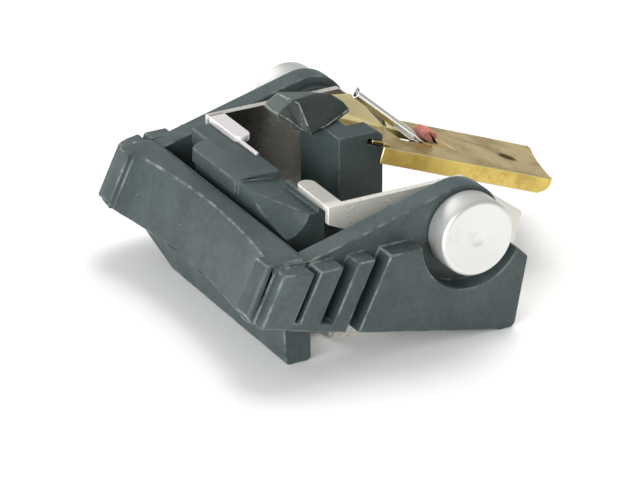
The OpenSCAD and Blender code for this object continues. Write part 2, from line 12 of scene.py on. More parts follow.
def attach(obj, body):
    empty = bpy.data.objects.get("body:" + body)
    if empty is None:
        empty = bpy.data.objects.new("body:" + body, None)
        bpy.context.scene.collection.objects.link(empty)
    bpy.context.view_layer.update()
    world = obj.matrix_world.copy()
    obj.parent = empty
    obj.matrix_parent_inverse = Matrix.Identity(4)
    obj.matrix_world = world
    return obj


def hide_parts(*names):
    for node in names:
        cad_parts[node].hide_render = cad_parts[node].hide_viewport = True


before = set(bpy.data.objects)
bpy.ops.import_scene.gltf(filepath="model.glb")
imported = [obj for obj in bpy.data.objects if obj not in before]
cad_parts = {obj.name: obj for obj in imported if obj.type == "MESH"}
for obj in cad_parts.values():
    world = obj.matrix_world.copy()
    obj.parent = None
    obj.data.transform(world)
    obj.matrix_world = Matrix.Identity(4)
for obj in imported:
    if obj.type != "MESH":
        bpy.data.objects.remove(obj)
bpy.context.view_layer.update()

# Dresses the turntable stylus: the CAD nodes are the fixed frame, and softened, worn and
# turned pieces stand for them.
MM = 0.001
# The guard's pivot line, in millimetres
AXIS_Y = 0.4155
AXIS_Z = 4.68
# The brass sheet's upper face: a point on it and its slope in degrees
SHEET_Y = 0.3255
SHEET_Z = 6.32
SHEET_SLOPE = 21.6
# Points of a turned end that lie closer than this, in metres, are one point
NO_GAP = 1e-7
log = logging.getLogger("stylus")

Colour = tuple[float, float, float]
Point = tuple[float, float, float]


class Body(Enum):
    """The bodies of the record, which carry the pieces."""

    HOLDER = "holder"
    GUARD = "guard"
    CANTILEVER = "cantilever"


class Slot(Enum):
    """The record's material slots."""

    GUARD_PLASTIC = "black_plastic"
    BAR_PLASTIC = "black_moulding"
    SADDLE_PLASTIC = "saddle_plastic"
    PIN = "pin_aluminium"
    NYLON = "washer_nylon"
    BRACKET = "bracket_steel"
    BRASS = "shank_brass"
    TIE = "sleeve_steel"
    RUBBER = "damper_rubber"
    WIRE = "wire_steel"
    MAGNET = "magnet_metal"
    TUBE = "cantilever_aluminium"
    DIAMOND = "diamond"


# ---------------------------------------------------------------- shader maths


class Level:
    """A number that varies over a surface: a socket with the arithmetic operators."""

    def __init__(self, graph: "Nodes", socket: bpy.types.NodeSocket) -> None:
        """Wraps a socket of a graph.

        Args:
            graph: The node tree that new nodes are added to.
            socket: The output socket that carries the number.
        """
        self.graph = graph
        self.socket = socket

    def _math(self, operation: str, *inputs: "Number") -> "Level":
        """Adds one Math node.

        Args:
            operation: The node's operation.
            inputs: Its operands, in order.

        Returns:
            The node's result.
        """
        node = self.graph.node("ShaderNodeMath", {"operation": operation}, dict(enumerate(inputs)))
        return Level(self.graph, node.outputs[0])

    def __add__(self, other: "Number") -> "Level":
        """The sum."""
        return self._math("ADD", self, other)

    def __radd__(self, other: "Number") -> "Level":
        """The sum, with the number first."""
        return self._math("ADD", other, self)

    def __sub__(self, other: "Number") -> "Level":
        """The difference."""
        return self._math("SUBTRACT", self, other)

    def __rsub__(self, other: "Number") -> "Level":
        """The difference, with the number first."""
        return self._math("SUBTRACT", other, self)

    def __mul__(self, other: "Number") -> "Level":
        """The product."""
        return self._math("MULTIPLY", self, other)

    def __rmul__(self, other: "Number") -> "Level":
        """The product, with the number first."""
        return self._math("MULTIPLY", other, self)

    def __pow__(self, other: "Number") -> "Level":
        """The power."""
        return self._math("POWER", self, other)

    def root(self) -> "Level":
        """The square root."""
        return self._math("SQRT", self)

    def wave(self) -> "Level":
        """The sine."""
        return self._math("SINE", self)

    def most(self, other: "Number") -> "Level":
        """The larger of the two."""
        return self._math("MAXIMUM", self, other)

    def least(self, other: "Number") -> "Level":
        """The smaller of the two."""
        return self._math("MINIMUM", self, other)

    def step(self, low: float, high: float) -> "Level":
        """Rises smoothly from 0 at low to 1 at high.

        Args:
            low: The value that gives 0.
            high: The value that gives 1.

        Returns:
            The smooth step.
        """
        if high < low:
            return 1 - self.step(high, low)
        node = self.graph.node("ShaderNodeMapRange", {"interpolation_type": "SMOOTHSTEP", "clamp": True},
                               {0: self, 1: low, 2: high, 3: 0.0, 4: 1.0})
        return Level(self.graph, node.outputs[0])


Number = Union[Level, float, int]


def as_rgba(value: object) -> object:
    """A colour of three numbers with its alpha, and anything else as it is."""
    return (*value, 1.0) if isinstance(value, tuple) else value


def sheet_depth(y: Level, z: Level) -> Level:
    """The height below the brass sheet's upper face, in millimetres."""
    return (SHEET_Z - z) - (y - SHEET_Y) * math.tan(math.radians(SHEET_SLOPE))


class Nodes:
    """A node tree that is filled through one method."""

    def __init__(self, tree: bpy.types.NodeTree) -> None:
        """Keeps the tree.

        Args:
            tree: The tree of a material or a world.
        """
        self.tree = tree

    def feed(self, socket: bpy.types.NodeSocket, value: object) -> None:
        """Links or sets one input.

        Args:
            socket: The input socket.
            value: A level or a socket to link, or a constant to set.
        """
        if isinstance(value, Level):
            self.tree.links.new(value.socket, socket)
        elif isinstance(value, bpy.types.NodeSocket):
            self.tree.links.new(value, socket)
        else:
            socket.default_value = value

    def node(self, kind: str, settings: dict[str, object] | None = None,
             sockets: dict[Union[str, int], object] | None = None) -> bpy.types.Node:
        """Adds a node, sets it and feeds its sockets.

        Args:
            kind: The node's type.
            settings: The node's own settings, which are set first.
            sockets: Values, levels or sockets for its inputs.

        Returns:
            The node.
        """
        node = self.tree.nodes.new(kind)
        for key, value in (settings or {}).items():
            setattr(node, key, value)
        for key, value in (sockets or {}).items():
            self.feed(node.inputs[key], value)
        return node


class Graph(Nodes):
    """One node material, in millimetres on the piece's own coordinates."""

    def __init__(self, name: str) -> None:
        """Starts a material with its shader and output.

        Args:
            name: The material's name.
        """
        self.material = bpy.data.materials.new(name)
        self.material.use_nodes = True
        super().__init__(self.material.node_tree)
        self.tree.nodes.clear()
        self.output = self.node("ShaderNodeOutputMaterial")
        self.shader = self.node("ShaderNodeBsdfPrincipled")
        self.feed(self.output.inputs["Surface"], self.shader.outputs[0])
        place = self.node("ShaderNodeTexCoord")
        self.metres = place.outputs["Object"]
        self.place = self.stretch((1 / MM, 1 / MM, 1 / MM), self.metres)

    def stretch(self, scale: Point, place: bpy.types.NodeSocket | None = None,
                turn: Point = (0, 0, 0)) -> bpy.types.NodeSocket:
        """Coordinates with each axis scaled, for grain that runs one way.

        Args:
            scale: The factor along each axis.
            place: The coordinates to start from, in millimetres if left out.
            turn: The turn about each axis, in radians.

        Returns:
            The new coordinates.
        """
        node = self.node("ShaderNodeMapping", {}, {"Vector": place or self.place,
                                                   "Rotation": turn, "Scale": scale})
        return node.outputs[0]

    def noise(self, per_mm: float, detail: float = 3, rough: float = 0.55,
              place: bpy.types.NodeSocket | None = None) -> Level:
        """Cloudy noise.

        Args:
            per_mm: Its scale, in waves a millimetre.
            detail: Its octaves.
            rough: The strength of the fine octaves.
            place: Its coordinates, in millimetres if left out.

        Returns:
            The noise, from 0 to 1.
        """
        node = self.node("ShaderNodeTexNoise", {}, {"Vector": place or self.place, "Scale": per_mm,
                                                    "Detail": detail, "Roughness": rough})
        return Level(self, node.outputs[0])

    def specks(self, per_mm: float, size: float, share: float) -> Level:
        """Small round specks on some of the cells of a grid.

        Args:
            per_mm: The number of cells a millimetre.
            size: The radius of a speck, in cells.
            share: The share of the cells that have one.

        Returns:
            1 on a speck, 0 off it.
        """
        node = self.node("ShaderNodeTexVoronoi", {}, {"Vector": self.place, "Scale": per_mm})
        chance = self.node("ShaderNodeSeparateColor", {}, {0: node.outputs["Color"]})
        near = Level(self, node.outputs["Distance"]).step(size, size * 0.5)
        return near * Level(self, chance.outputs[0]).step(share + 0.01, share)

    def axes(self) -> tuple[Level, Level, Level]:
        """The three coordinates, in millimetres."""
        node = self.node("ShaderNodeSeparateXYZ", {}, {0: self.place})
        return tuple(Level(self, socket) for socket in node.outputs[:3])

    def worn(self) -> Level:
        """The mask of the rounded edges, kept on the mesh as worn."""
        node = self.node("ShaderNodeAttribute", {"attribute_name": "worn"})
        return Level(self, node.outputs["Fac"])

    def blend(self, mask: Number, low: object, high: object) -> bpy.types.NodeSocket:
        """Mixes two colours.

        Args:
            mask: 0 for the first and 1 for the second.
            low: The first colour, three numbers or a socket.
            high: The second colour.

        Returns:
            The mixed colour.
        """
        node = self.node("ShaderNodeMix", {"data_type": "RGBA"},
                         {0: mask, 6: as_rgba(low), 7: as_rgba(high)})
        return node.outputs[2]

    def relief(self, height: Level, depth_mm: float, strength: float = 1.0) -> None:
        """Feeds a height to the shader's normal.

        Args:
            height: The height, from 0 to 1.
            depth_mm: The depth that 1 stands for.
            strength: The share of the effect.
        """
        bump = self.node("ShaderNodeBump", {}, {"Height": height, "Distance": depth_mm * MM,
                                                "Strength": strength})
        self.feed(self.shader.inputs["Normal"], bump.outputs[0])

    def surface(self, **sockets: object) -> None:
        """Sets the shader's sockets, named with _ for a space.

        Args:
            sockets: Values, levels or sockets.
        """
        for key, value in sockets.items():
            words = (word.upper() if word.lower() == "ior" else word.capitalize()
                     for word in key.split("_"))
            self.feed(self.shader.inputs[" ".join(words)], as_rgba(value))


# ---------------------------------------------------------------- finishes


@dataclass(frozen=True)
class Finish:
    """A finish: a name, the slot it stands for, and a graph that is made when it is asked for."""

    name: str
    slot: Slot

    def dress(self, graph: Graph) -> None:
        """Fills the graph.

        Args:
            graph: The material's graph.
        """
        raise NotImplementedError

    def material(self) -> bpy.types.Material:
        """The finish's material, made once."""
        found = bpy.data.materials.get(self.name)
        if found is None:
            graph = Graph(self.name)
            self.dress(graph)
            found = graph.material
        return found


@dataclass(frozen=True)
class MouldedPlastic(Finish):
    """Black moulded plastic with a slate sheen, pale worn edges, a little dust and, where set, painted light
    on a far facet.
    """

    colour: Colour = (0.043, 0.058, 0.06)
    haze: Colour = (0.066, 0.086, 0.088)
    # painted light: the x, in millimetres, below which the far facet is painted paler; far off by default
    painted_light_from: float = -50.0
    edge: Colour = (0.3, 0.33, 0.31)
    wear: float = 0.7
    rough: float = 0.5
    dust: float = 0.02

    def dress(self, graph: Graph) -> None:
        """Mottled colour, handling marks, worn edges, specks, a fine moulded grain and, where set, painted
        light that makes the far facet paler.

        Args:
            graph: The material's graph.
        """
        cloud = graph.noise(0.55, 4, 0.6)
        grain = graph.noise(9, 3, 0.6)
        rubbed = (graph.noise(2.2, 5, 0.7) * 0.7 + grain * 0.3).step(0.52, 0.68)
        haze = (cloud * 0.5 + graph.noise(3.5, 4, 0.6) * 0.25 + grain * 0.25).step(0.38, 0.62)
        worn = graph.worn() * graph.noise(1.3, 4, 0.7).step(0.4, 0.62) * self.wear
        scuffs = graph.noise(7, 5, 0.75, graph.stretch((0.4, 1.4, 1.0), turn=(0.3, 0.9, 0.5))).step(0.62, 0.8)
        specks = graph.specks(1.1, 0.055, self.dust) + graph.specks(3.2, 0.07, self.dust * 0.6)
        base = graph.blend(haze, self.colour, self.haze)
        # painted light: the far facet is painted paler, standing for the light that falls on it
        pale = graph.axes()[0].step(self.painted_light_from + 0.1, self.painted_light_from - 0.1)
        base = graph.blend(pale * 0.5, base, (0.14, 0.17, 0.155))
        base = graph.blend(scuffs * 0.16, base, self.edge)
        base = graph.blend(rubbed * worn + worn * 0.55, base, self.edge)
        base = graph.blend(specks.least(1.0) * 0.8, base, (0.75, 0.78, 0.75))
        graph.surface(base_color=base, roughness=grain * 0.16 + (self.rough - 0.08) + worn * 0.1 - haze * 0.04,
                      specular_ior_level=0.4)
        graph.relief(grain * 0.6 + cloud * 0.4 + specks.least(1.0), 0.012, 0.55)


@dataclass(frozen=True)
class TurnedMetal(Finish):
    """Bright metal turned on a lathe about a line parallel to X."""

    colour: Colour = (0.77, 0.77, 0.745)
    rough: float = 0.3

    def dress(self, graph: Graph) -> None:
        """Fine rings about the axis, a satin roughness and faint stains.

        Args:
            graph: The material's graph.
        """
        _, y, z = graph.axes()
        radius = ((y - AXIS_Y) ** 2 + (z - AXIS_Z) ** 2).root()
        rings = (radius * 95).wave() * 0.5 + 0.5
        uneven = graph.noise(14, 2, 0.5)
        stain = graph.noise(1.4, 4, 0.6).step(0.5, 0.75)
        handled = graph.noise(4, 4, 0.65).step(0.55, 0.75)
        worn = graph.worn()
        base = graph.blend(stain * 0.35 + handled * 0.15, self.colour,
                           tuple(c * 0.8 for c in self.colour))
        base = graph.blend(worn * 0.25, base, (0.97, 0.97, 0.96))
        graph.surface(base_color=base, metallic=0.8,
                      roughness=rings * 0.06 + uneven * 0.1 + stain * 0.06 + (self.rough - 0.08))
        graph.relief(rings * 0.6 + uneven * 0.4, 0.004, 0.5)


@dataclass(frozen=True)
class DrawnSheet(Finish):
    """Rolled or drawn sheet metal with a grain along one axis, stains and worn cut edges."""

    colour: Colour = (0.72, 0.7, 0.65)
    stain: Colour = (0.36, 0.32, 0.26)
    edge: Colour = (0.9, 0.87, 0.8)
    rough: float = 0.3
    grain: Point = (0.5, 0.5, 3.0)
    turn: Point = (0.0, 0.0, 0.0)
    stained: float = 0.5
    # painted light: the x of the bracket plates' inside face, which places the painted shade and highlights; 0
    # for none
    painted_light_face_x: float = 0.0
    # painted shade: the near-black colour painted on the bracket's inside faces
    dull: Colour = (0.03, 0.028, 0.022)
    # painted highlight: the pinkish white painted on the far lug
    lug: Colour = (0.86, 0.8, 0.84)

    def zones(self, graph: Graph, base: bpy.types.NodeSocket,
              cloud: Level) -> tuple[bpy.types.NodeSocket, Level]:
        """Painted light on the bracket: painted shade on its inside faces, and painted highlights on its near
        outside face and far lug.

        Args:
            graph: The material's graph.
            base: The sheet's colour so far.
            cloud: The uneven tarnish, which also makes the painted shade uneven.

        Returns:
            The new colour, and how metallic each zone is.
        """
        x, face = graph.axes()[0], self.painted_light_face_x
        # painted shade: the bracket's inside faces, away from the worn edges, are painted near-black
        painted_shade_inside = x.step(-face - 0.06, -face - 0.03) * x.step(0.06 - face, 0.03 - face)
        painted_shade_inside = painted_shade_inside * (1 - graph.worn())
        # painted highlight: the far lug is painted pinkish white, standing for the light it reflects
        lug = (x * x).step(face ** 2, (face - 0.06) ** 2) * x.step(0.0, -0.5)
        # painted highlight: the near plate's outside face is painted bright, standing for the reflection it
        # shows
        painted_highlight_near = x.step(face - 0.3, face)
        base = graph.blend(painted_shade_inside * (cloud * 0.3 + 0.7), base, self.dull)
        base = graph.blend(painted_highlight_near * 0.6, base, self.edge)
        base = graph.blend(lug * 0.7, base, self.lug)
        plain = (1 - painted_highlight_near) * (1 - painted_shade_inside) * (1 - lug)
        return base, 1 - painted_highlight_near * 0.55 - lug * 0.55 - plain * 0.35

    def dress(self, graph: Graph) -> None:
        """Grain, stains, a few scratches, bright worn edges and, on the bracket, painted shade and painted
        highlights.

        Args:
            graph: The material's graph.
        """
        grain = graph.noise(6, 3, 0.6, graph.stretch(self.grain, turn=self.turn))
        cloud = graph.noise(0.7, 2, 0.5)
        spots = graph.noise(1.7, 2, 0.5).step(0.5, 0.85)
        drawn = graph.stretch((0.6, 5.0, 1.0), turn=(0.2, 0.1, 0.7))
        scratch = graph.noise(2.5, 1, 0.4, drawn).step(0.66, 0.86)
        tarnish = cloud.step(0.42, 0.7) * 0.6 + spots * 0.4
        base = graph.blend(tarnish * self.stained, self.colour, self.stain)
        base = graph.blend(scratch * 0.25 + graph.worn() * 0.5, base, self.edge)
        shine = 1.0
        if self.painted_light_face_x:
            base, shine = self.zones(graph, base, cloud)
        graph.surface(base_color=base, metallic=shine,
                      roughness=grain * 0.16 + tarnish * 0.14 + (self.rough - 0.1))
        graph.relief(grain * 0.7 + cloud * 0.3, 0.0015, 0.5)


@dataclass(frozen=True)
class RolledBrass(DrawnSheet):
    """Yellow brass sheet with dark tarnish spots, painted shade inside the channel and round the dimple, and a
    painted highlight on the flap.
    """

    colour: Colour = (0.67, 0.5, 0.14)
    stain: Colour = (0.4, 0.26, 0.065)
    edge: Colour = (0.9, 0.78, 0.42)
    grain: Point = (1.5, 0.35, 1.5)
    dimple_x: float = 0.25
    dimple_y: float = 6.703
    dimple_r: float = 0.38
    # painted shade: the dark brown painted on the channel's inside, below the sheet's upper face
    inside: Colour = (0.1, 0.06, 0.025)

    def dress(self, graph: Graph) -> None:
        """The sheet's grain and dark freckles, a dark streak, painted shade in a ring at the dimple and inside
        the channel, and a painted highlight on the flap.

        Args:
            graph: The material's graph.
        """
        x, y, z = graph.axes()
        grain = graph.noise(7, 3, 0.6, graph.stretch(self.grain))
        cloud = graph.noise(0.5, 5, 0.6)
        fine = graph.noise(2.6, 5, 0.7)
        # painted shade: a dark ring is painted round the dimple, where its hollow is shaded
        away = ((x - self.dimple_x) ** 2 + ((y - self.dimple_y) * 1.07) ** 2).root()
        ring = away.step(self.dimple_r + 0.14, self.dimple_r) * (fine * 0.5 + 0.6)
        depth = sheet_depth(y, z)
        # painted shade: the channel's inside, below the sheet's upper face, is painted dark brown
        painted_shade_inside = depth.step(0.05, 0.12) * (x * x).step(5.66, 5.5)
        # a dark brown patch painted on the sheet near x = -0.95, y = 5.6, drawn out diagonally
        along = x + 0.95
        dark_streak = (along ** 2 + (y - 5.6 - along * 0.9) ** 2).root().step(0.55, 0.1)
        dark_streak = dark_streak * fine.step(0.35, 0.6)
        freckles = graph.specks(2.4, 0.16, 0.12)
        tarnish = (cloud.step(0.42, 0.64) * 0.6 + fine.step(0.5, 0.72) * 0.5).least(1.0)
        base = graph.blend(tarnish, self.colour, self.stain)
        base = graph.blend(dark_streak * 0.6, base, (0.16, 0.1, 0.045))
        base = graph.blend(freckles * 0.35, base, (0.22, 0.15, 0.06))
        base = graph.blend(graph.worn() * 0.75 + (grain - 0.5).most(0.0) * 0.7, base, self.edge)
        # painted highlight: the bent flap is painted pale gold and less metallic, standing for the light it
        # reflects
        flap = x.step(-0.6, -1.0) * y.step(1.9, 1.5)
        base = graph.blend(flap * 0.85, base, (0.84, 0.74, 0.4))
        base = graph.blend(painted_shade_inside * (fine * 0.4 + 0.7).least(1.0) * (1 - flap), base, self.inside)
        base = graph.blend(ring, base, (0.2, 0.14, 0.06))
        graph.surface(base_color=base, metallic=1 - flap * 0.5,
                      roughness=grain * 0.18 + tarnish * 0.12 + painted_shade_inside * 0.15 + (self.rough - 0.04))
        graph.relief(grain * 0.6 + fine * 0.4, 0.008, 0.5)


@dataclass(frozen=True)
class SoftRubber(Finish):
    """Reddish rubber, dull and a little dusty."""

    colour: Colour = (0.5, 0.16, 0.12)
    rough: float = 0.62

    def dress(self, graph: Graph) -> None:
        """Mottled red-brown with pale bloom, and ochre dirt where it lies flush with the brass.

        Args:
            graph: The material's graph.
        """
        bloom = graph.noise(3, 4, 0.6).step(0.45, 0.7)
        pits = graph.noise(16, 2, 0.6)
        base = graph.blend(bloom * 0.5, self.colour, (0.72, 0.42, 0.34))
        base = graph.blend(graph.worn() * 0.3, base, (0.8, 0.5, 0.42))
        _, y, z = graph.axes()
        depth = sheet_depth(y, z)
        base = graph.blend(depth.step(-0.06, 0.0), base, (0.34, 0.25, 0.1))
        graph.surface(base_color=base, roughness=pits * 0.15 + (self.rough - 0.07), subsurface_weight=0.15,
                      subsurface_scale=0.0003)
        graph.relief(pits, 0.01, 0.6)


@dataclass(frozen=True)
class PlainNylon(Finish):
    """Nylon, smooth with faint turning."""

    colour: Colour = (0.02, 0.024, 0.024)

    def dress(self, graph: Graph) -> None:
        """Faint cloud and a low gloss.

        Args:
            graph: The material's graph.
        """
        cloud = graph.noise(2.5, 4, 0.6)
        base = graph.blend(cloud.step(0.35, 0.7), self.colour, tuple(c * 1.7 for c in self.colour))
        graph.surface(base_color=base, roughness=cloud * 0.2 + 0.3)
        graph.relief(cloud, 0.006, 0.4)


@dataclass(frozen=True)
class GroundDiamond(Finish):
    """The ground diamond: dark and glossy, with bright lapped facets."""

    colour: Colour = (0.05, 0.06, 0.08)

    def dress(self, graph: Graph) -> None:
        """Dark glassy grey with lapping lines.

        Args:
            graph: The material's graph.
        """
        laps = graph.noise(30, 2, 0.5, graph.stretch((1.0, 1.0, 6.0)))
        base = graph.blend(laps.step(0.5, 0.7), self.colour, (0.16, 0.18, 0.2))
        graph.surface(base_color=base, roughness=laps * 0.12 + 0.06, IOR=2.4)
        graph.relief(laps, 0.001, 0.3)


class Finishes:
    """The finishes of this stylus."""

    GUARD = MouldedPlastic("guard black plastic", Slot.GUARD_PLASTIC)
    # The bar plastic is a copy of the black plastic whose colour is set to how bright the lit block looks:
    # painted light.
    BAR = MouldedPlastic("bar black plastic", Slot.BAR_PLASTIC, colour=(0.034, 0.049, 0.05),
                         haze=(0.05, 0.069, 0.068), wear=0.35, dust=0.015)
    # The saddle's plastic is a darker copy of the black plastic as painted shade, and its far facet gets
    # painted light.
    SADDLE = MouldedPlastic("saddle black plastic", Slot.SADDLE_PLASTIC, colour=(0.01, 0.016, 0.014),
                            haze=(0.02, 0.028, 0.026), painted_light_from=-1.9, edge=(0.42, 0.46, 0.42),
                            wear=1.0, rough=0.46)
    PIN = TurnedMetal("pin turned aluminium", Slot.PIN, rough=0.42)
    NYLON = PlainNylon("washer nylon", Slot.NYLON)
    # The bracket gets painted shade on its inside faces and painted highlights on its near plate and far lug.
    BRACKET = DrawnSheet("bracket bright sheet", Slot.BRACKET, painted_light_face_x=5.16, stained=0.28)
    BRASS = RolledBrass("shank rolled brass", Slot.BRASS)
    TIE = DrawnSheet("tie block plated steel", Slot.TIE, colour=(0.5, 0.46, 0.38), grain=(4, 4, 4))
    RUBBER = SoftRubber("damper red rubber", Slot.RUBBER)
    WIRE = DrawnSheet("wire bright steel", Slot.WIRE, colour=(0.6, 0.6, 0.6), stain=(0.3, 0.3, 0.3),
                      grain=(8, 2, 2), stained=0.3)
    MAGNET = DrawnSheet("magnet dark metal", Slot.MAGNET, colour=(0.2, 0.2, 0.21), stain=(0.1, 0.1, 0.1),
                        edge=(0.4, 0.4, 0.42), rough=0.42, grain=(5, 5, 5))
    TUBE = DrawnSheet("cantilever drawn aluminium", Slot.TUBE, colour=(0.9, 0.88, 0.85),
                      stain=(0.42, 0.38, 0.34), edge=(0.95, 0.94, 0.92), rough=0.26,
                      grain=(10.0, 10.0, 1.2), turn=(0.838, 0.0, 0.0), stained=0.35)
    DIAMOND = GroundDiamond("tip ground diamond", Slot.DIAMOND)


# ---------------------------------------------------------------- making of pieces


def settle(piece: bpy.types.Object, body: Body, finish: Finish, *nodes: str) -> bpy.types.Object:
    """Dresses a finished piece and hands it to the frame.

    Args:
        piece: The finished mesh.
        body: The body that carries it.
        finish: Its finish.
        nodes: The CAD nodes that it stands for.

    Returns:
        The piece.
    """
    piece.data.materials.clear()
    piece.data.materials.append(finish.material())
    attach(piece, body.value)
    if nodes:
        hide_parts(*nodes)
    log.info("%s: %d faces, rides on %s", piece.name, len(piece.data.polygons), body.value)
    return piece


def activate(piece: bpy.types.Object) -> None:
    """Leaves one object selected and active.

    Args:
        piece: The object.
    """
    bpy.ops.object.select_all(action="DESELECT")
    piece.select_set(True)
    bpy.context.view_layer.objects.active = piece


def apply_modifier(piece: bpy.types.Object, kind: str, **settings: object) -> None:
    """Adds a modifier, sets it and applies it.

    Args:
        piece: The object.
        kind: The modifier's type.
        settings: Its settings.
    """
    activate(piece)
    modifier = piece.modifiers.new(kind.lower(), kind)
    for key, value in settings.items():
        setattr(modifier, key, value)
    bpy.ops.object.modifier_apply(modifier=modifier.name)


def mark_worn(piece: bpy.types.Object) -> None:
    """Keeps the faces that the bevel made as the attribute worn, and gives the mesh one material.

    Args:
        piece: The object, whose bevelled faces have material 1.
    """
    mesh = piece.data
    worn = mesh.attributes.new("worn", "FLOAT", "CORNER")
    for face in mesh.polygons:
        for corner in face.loop_indices:
            worn.data[corner].value = float(face.material_index)
    for face in mesh.polygons:
        face.material_index = 0


@dataclass
class SoftCopy:
    """A copy of a CAD node, welded and with its edges rounded as a mould or a press leaves them."""

    node: str
    name: str
    radius: float
    weld: float = 0.02
    corner: float = 28.0
    segments: int = 2
    flat: float = 1.2
    stray: float = 0.6
    smooth: float = 40.0

    def build(self) -> bpy.types.Object:
        """Builds the copy.

        Returns:
            The new object, at the origin.
        """
        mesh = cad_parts[self.node].data.copy()
        mesh.materials.clear()
        piece = bpy.data.objects.new(self.name, mesh)
        bpy.context.scene.collection.objects.link(piece)
        activate(piece)
        bpy.ops.object.mode_set(mode="EDIT")
        bpy.ops.mesh.select_all(action="SELECT")
        bpy.ops.mesh.remove_doubles(threshold=self.weld * MM)
        bpy.ops.mesh.dissolve_limited(angle_limit=math.radians(self.flat))
        bpy.ops.mesh.normals_make_consistent(inside=False)
        bpy.ops.object.mode_set(mode="OBJECT")
        for _ in range(2):
            mesh.materials.append(None)
        self.round_edges(piece)
        return piece

    def round_edges(self, piece: bpy.types.Object) -> None:
        """Rounds the sharp edges and smooths the shading.

        Args:
            piece: The welded copy.
        """
        before = BVHTree.FromPolygons([vertex.co for vertex in piece.data.vertices],
                                      [face.vertices[:] for face in piece.data.polygons])
        apply_modifier(piece, "BEVEL", width=self.radius * MM, segments=self.segments, limit_method="ANGLE",
                       angle_limit=math.radians(self.corner), use_clamp_overlap=False, material=1,
                       miter_outer="MITER_SHARP", loop_slide=False)
        strayed = 0
        for vertex in piece.data.vertices:
            place, _, _, away = before.find_nearest(vertex.co)
            if away > self.radius * self.stray * MM:
                vertex.co = place
                strayed += 1
        log.info("%s: %d strayed corners drawn back", self.name, strayed)
        mark_worn(piece)
        activate(piece)
        bpy.ops.object.shade_smooth_by_angle(angle=math.radians(self.smooth))
        apply_modifier(piece, "WEIGHTED_NORMAL", keep_sharp=True, weight=80)


@dataclass
class SunkDamper(SoftCopy):
    """The damper's copy, cut flush with the brass sheet but for the lip behind the cantilever."""

    sliver: float = 0.006
    slant: float = 2.0
    cuts: tuple[tuple[Point, Point], ...] = (((-1.0, 3.05, -0.03), (1.0, 4.0, 1.0)),
                                             ((0.12, 2.0, -0.055), (1.0, 3.25, 1.0)))

    def round_edges(self, piece: bpy.types.Object) -> None:
        """Cuts the boxes away, which are given in the brass sheet's own frame, then rounds.

        Args:
            piece: The welded copy.
        """
        tilt = Matrix.Rotation(-math.radians(SHEET_SLOPE), 4, "X")
        place = Matrix.Translation(Vector((0, SHEET_Y, SHEET_Z)) * MM) @ tilt
        for low, high in self.cuts:
            bpy.ops.object.select_all(action="DESELECT")
            bpy.ops.mesh.primitive_cube_add(size=1)
            cutter = bpy.context.object
            middle = (Vector(low) + Vector(high)) / 2 * MM
            size = (Vector(high) - Vector(low)) * MM
            cutter.data.transform(place @ Matrix.Translation(middle) @ Matrix.Diagonal((*size, 1)))
            apply_modifier(piece, "BOOLEAN", operation="DIFFERENCE", object=cutter, solver="EXACT")
            bpy.data.objects.remove(cutter)
        activate(piece)
        bpy.ops.object.mode_set(mode="EDIT")
        bpy.ops.mesh.select_all(action="SELECT")
        bpy.ops.mesh.remove_doubles(threshold=self.sliver * MM)
        bpy.ops.mesh.dissolve_limited(angle_limit=math.radians(self.slant))
        bpy.ops.object.mode_set(mode="OBJECT")
        super().round_edges(piece)


@dataclass
class Turning:
    """A piece turned about a line: rings of radius and distance, joined from the first to the last."""

    name: str
    origin: Point
    aim: Point
    rings: Sequence[tuple[float, float]]
    segments: int = 64
    smooth: float = 32.0

    def build(self) -> bpy.types.Object:
        """Builds the piece from one circle, extruded and scaled ring by ring.

        Returns:
            The new object, at the origin, closed at both ends.
        """
        bpy.ops.object.select_all(action="DESELECT")
        first_radius, first_place = self.rings[0]
        bpy.ops.mesh.primitive_circle_add(vertices=self.segments, radius=first_radius * MM,
                                          fill_type="NGON", location=(0, 0, first_place * MM))
        piece = bpy.context.object
        piece.name = piece.data.name = self.name
        bpy.ops.object.transform_apply(location=True, rotation=True, scale=True)
        bpy.ops.object.mode_set(mode="EDIT")
        bpy.ops.mesh.select_all(action="SELECT")
        radius, place = first_radius, first_place
        for next_radius, next_place in self.rings[1:]:
            bpy.ops.mesh.extrude_region_move(
                TRANSFORM_OT_translate={"value": (0, 0, (next_place - place) * MM)})
            ratio = next_radius / radius
            bpy.ops.transform.resize(value=(ratio, ratio, 1), center_override=(0, 0, next_place * MM))
            radius, place = next_radius, next_place
        bpy.ops.mesh.select_all(action="SELECT")
        bpy.ops.mesh.remove_doubles(threshold=NO_GAP)
        bpy.ops.mesh.normals_make_consistent(inside=False)
        bpy.ops.object.mode_set(mode="OBJECT")
        turn = Vector((0, 0, 1)).rotation_difference(Vector(self.aim)).to_matrix().to_4x4()
        piece.data.transform(Matrix.Translation(Vector(self.origin) * MM) @ turn)
        activate(piece)
        bpy.ops.object.shade_smooth_by_angle(angle=math.radians(self.smooth))
        return piece


# ---------------------------------------------------------------- sub-assemblies


